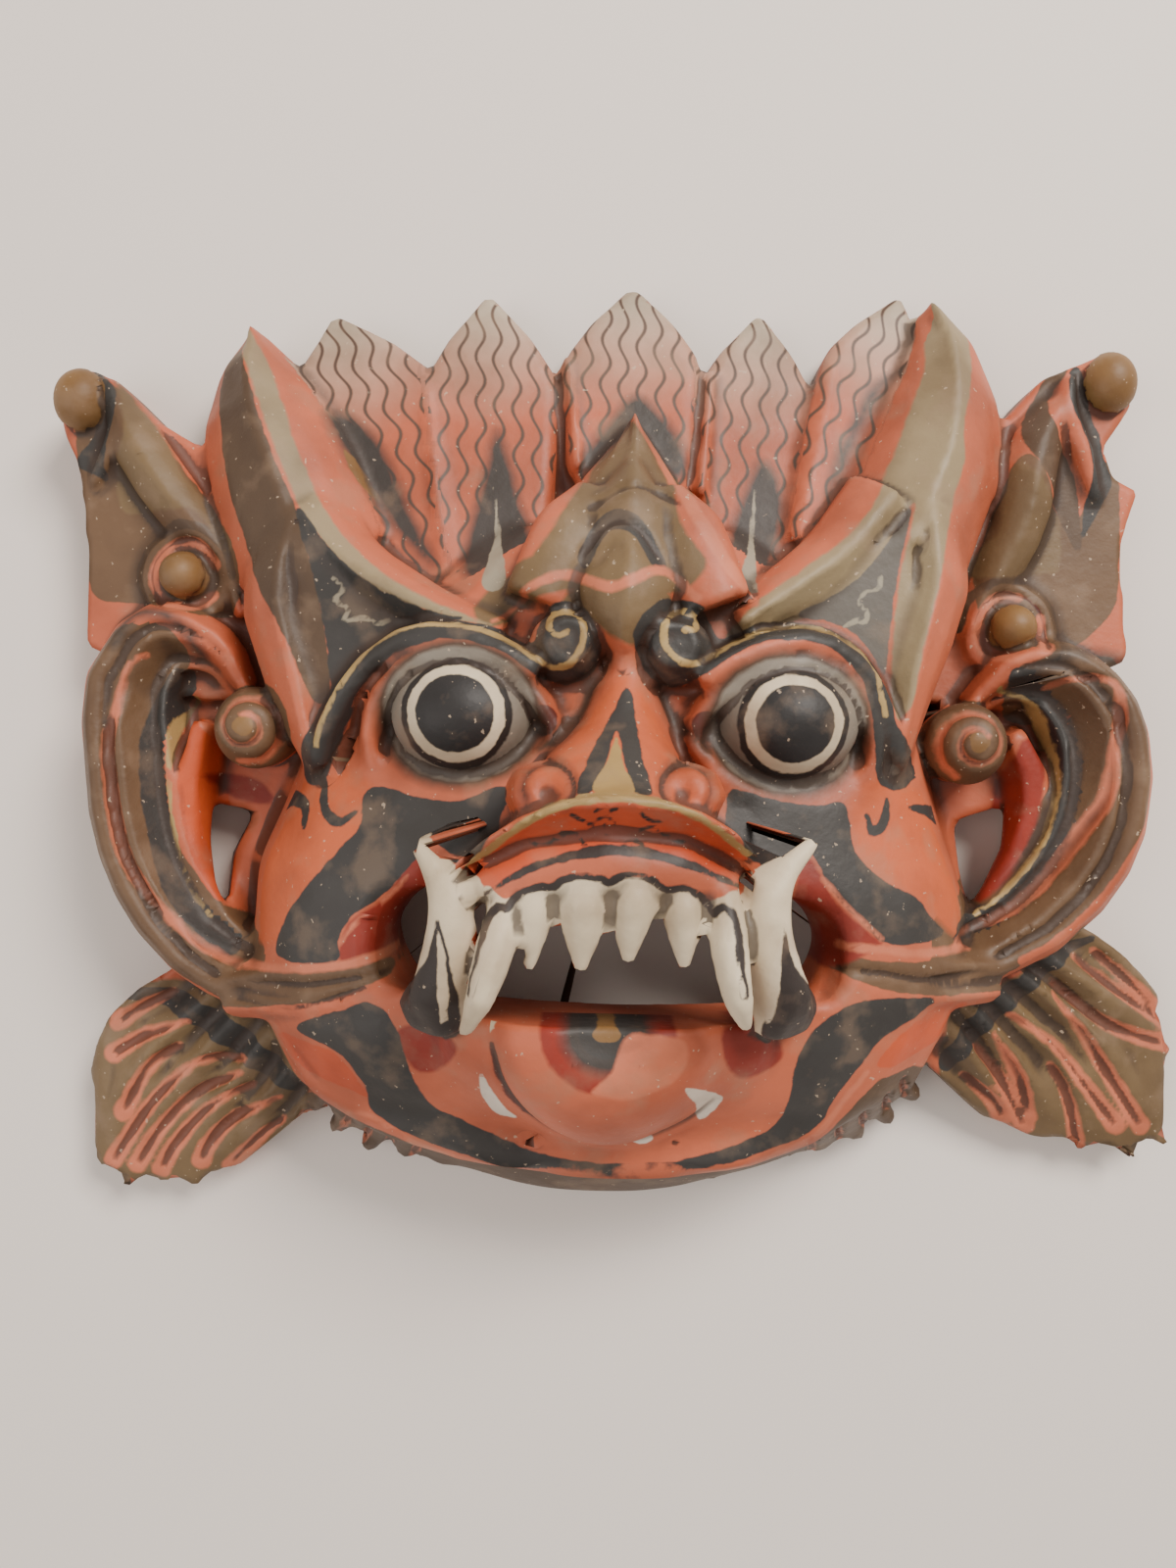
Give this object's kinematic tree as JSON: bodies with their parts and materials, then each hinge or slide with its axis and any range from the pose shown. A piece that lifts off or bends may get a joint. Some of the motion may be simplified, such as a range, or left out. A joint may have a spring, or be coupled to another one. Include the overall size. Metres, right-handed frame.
{
  "type": "carved mask",
  "caption": "Carved and painted wooden guardian mask with a flame crown, horn-like brow leaves, bulging eyes, an open fanged mouth, side scrolls, leaf fans and a hollowed back.",
  "frame": {"origin": "middle of the mask's outline, on the sawn back that it lies on", "axes": "+X to the viewer's right when the face is looked at, +Y to the crown, +Z out of the face"},
  "size_m": [0.3046, 0.2486, 0.0955],
  "materials": {
    "painted_wood": "aged matt to satin paint over carved softwood, salmon, brown-gold, black and cream"
  },
  "bodies": {
    "root": {"carved_mask": "painted_wood"}
  },
  "joints": []
}
